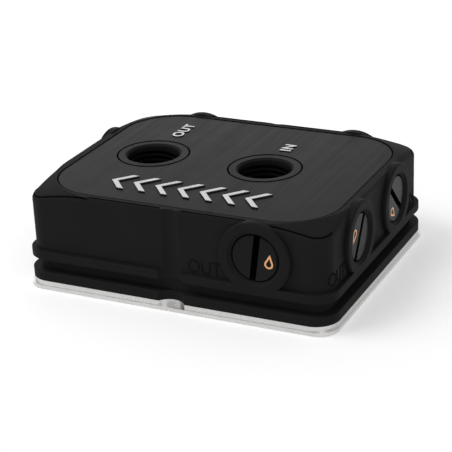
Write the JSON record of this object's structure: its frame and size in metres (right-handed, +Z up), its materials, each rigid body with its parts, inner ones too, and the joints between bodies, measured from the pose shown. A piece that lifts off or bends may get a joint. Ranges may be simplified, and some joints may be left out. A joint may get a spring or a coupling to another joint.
{
  "type": "liquid cooling cold plate",
  "caption": "Rectangular processor water block: plated copper cold plate under a black housing with a brushed cover, threaded coolant ports on top and slotted screw plugs in the sides.",
  "frame": {"origin": "middle of the copper contact face, which the block stands on", "axes": "+X along the long side towards the side with two plugs, +Y across the short side to the back, +Z up out of the open ports"},
  "size_m": [0.0804, 0.065, 0.0256],
  "materials": {
    "nickel_plate": "satin nickel plate over copper",
    "black_acetal": "fine satin",
    "brushed_aluminium": "dark anodised, brushed across the short side",
    "adhesive_film": "matt",
    "jet_steel": "satin",
    "seal_rubber": "satin",
    "screw_steel": "satin",
    "plug_metal": "glossy black plating"
  },
  "bodies": {
    "root": {"cold_plate": "nickel_plate", "terminal_body": "black_acetal", "cover_plate": "brushed_aluminium", "cover_adhesive": "adhesive_film", "jet_plate": "jet_steel", "base_seal": "seal_rubber", "base_screws": "screw_steel", "port_plug_front": "plug_metal", "port_plug_right_front": "plug_metal", "port_plug_right_rear": "plug_metal", "port_plug_left_rear": "plug_metal", "port_plug_back_left": "plug_metal", "port_plug_back_right": "plug_metal", "plug_seal_front": "seal_rubber", "plug_seal_right_front": "seal_rubber", "plug_seal_right_rear": "seal_rubber", "plug_seal_left_rear": "seal_rubber", "plug_seal_back_left": "seal_rubber", "plug_seal_back_right": "seal_rubber"}
  },
  "joints": []
}
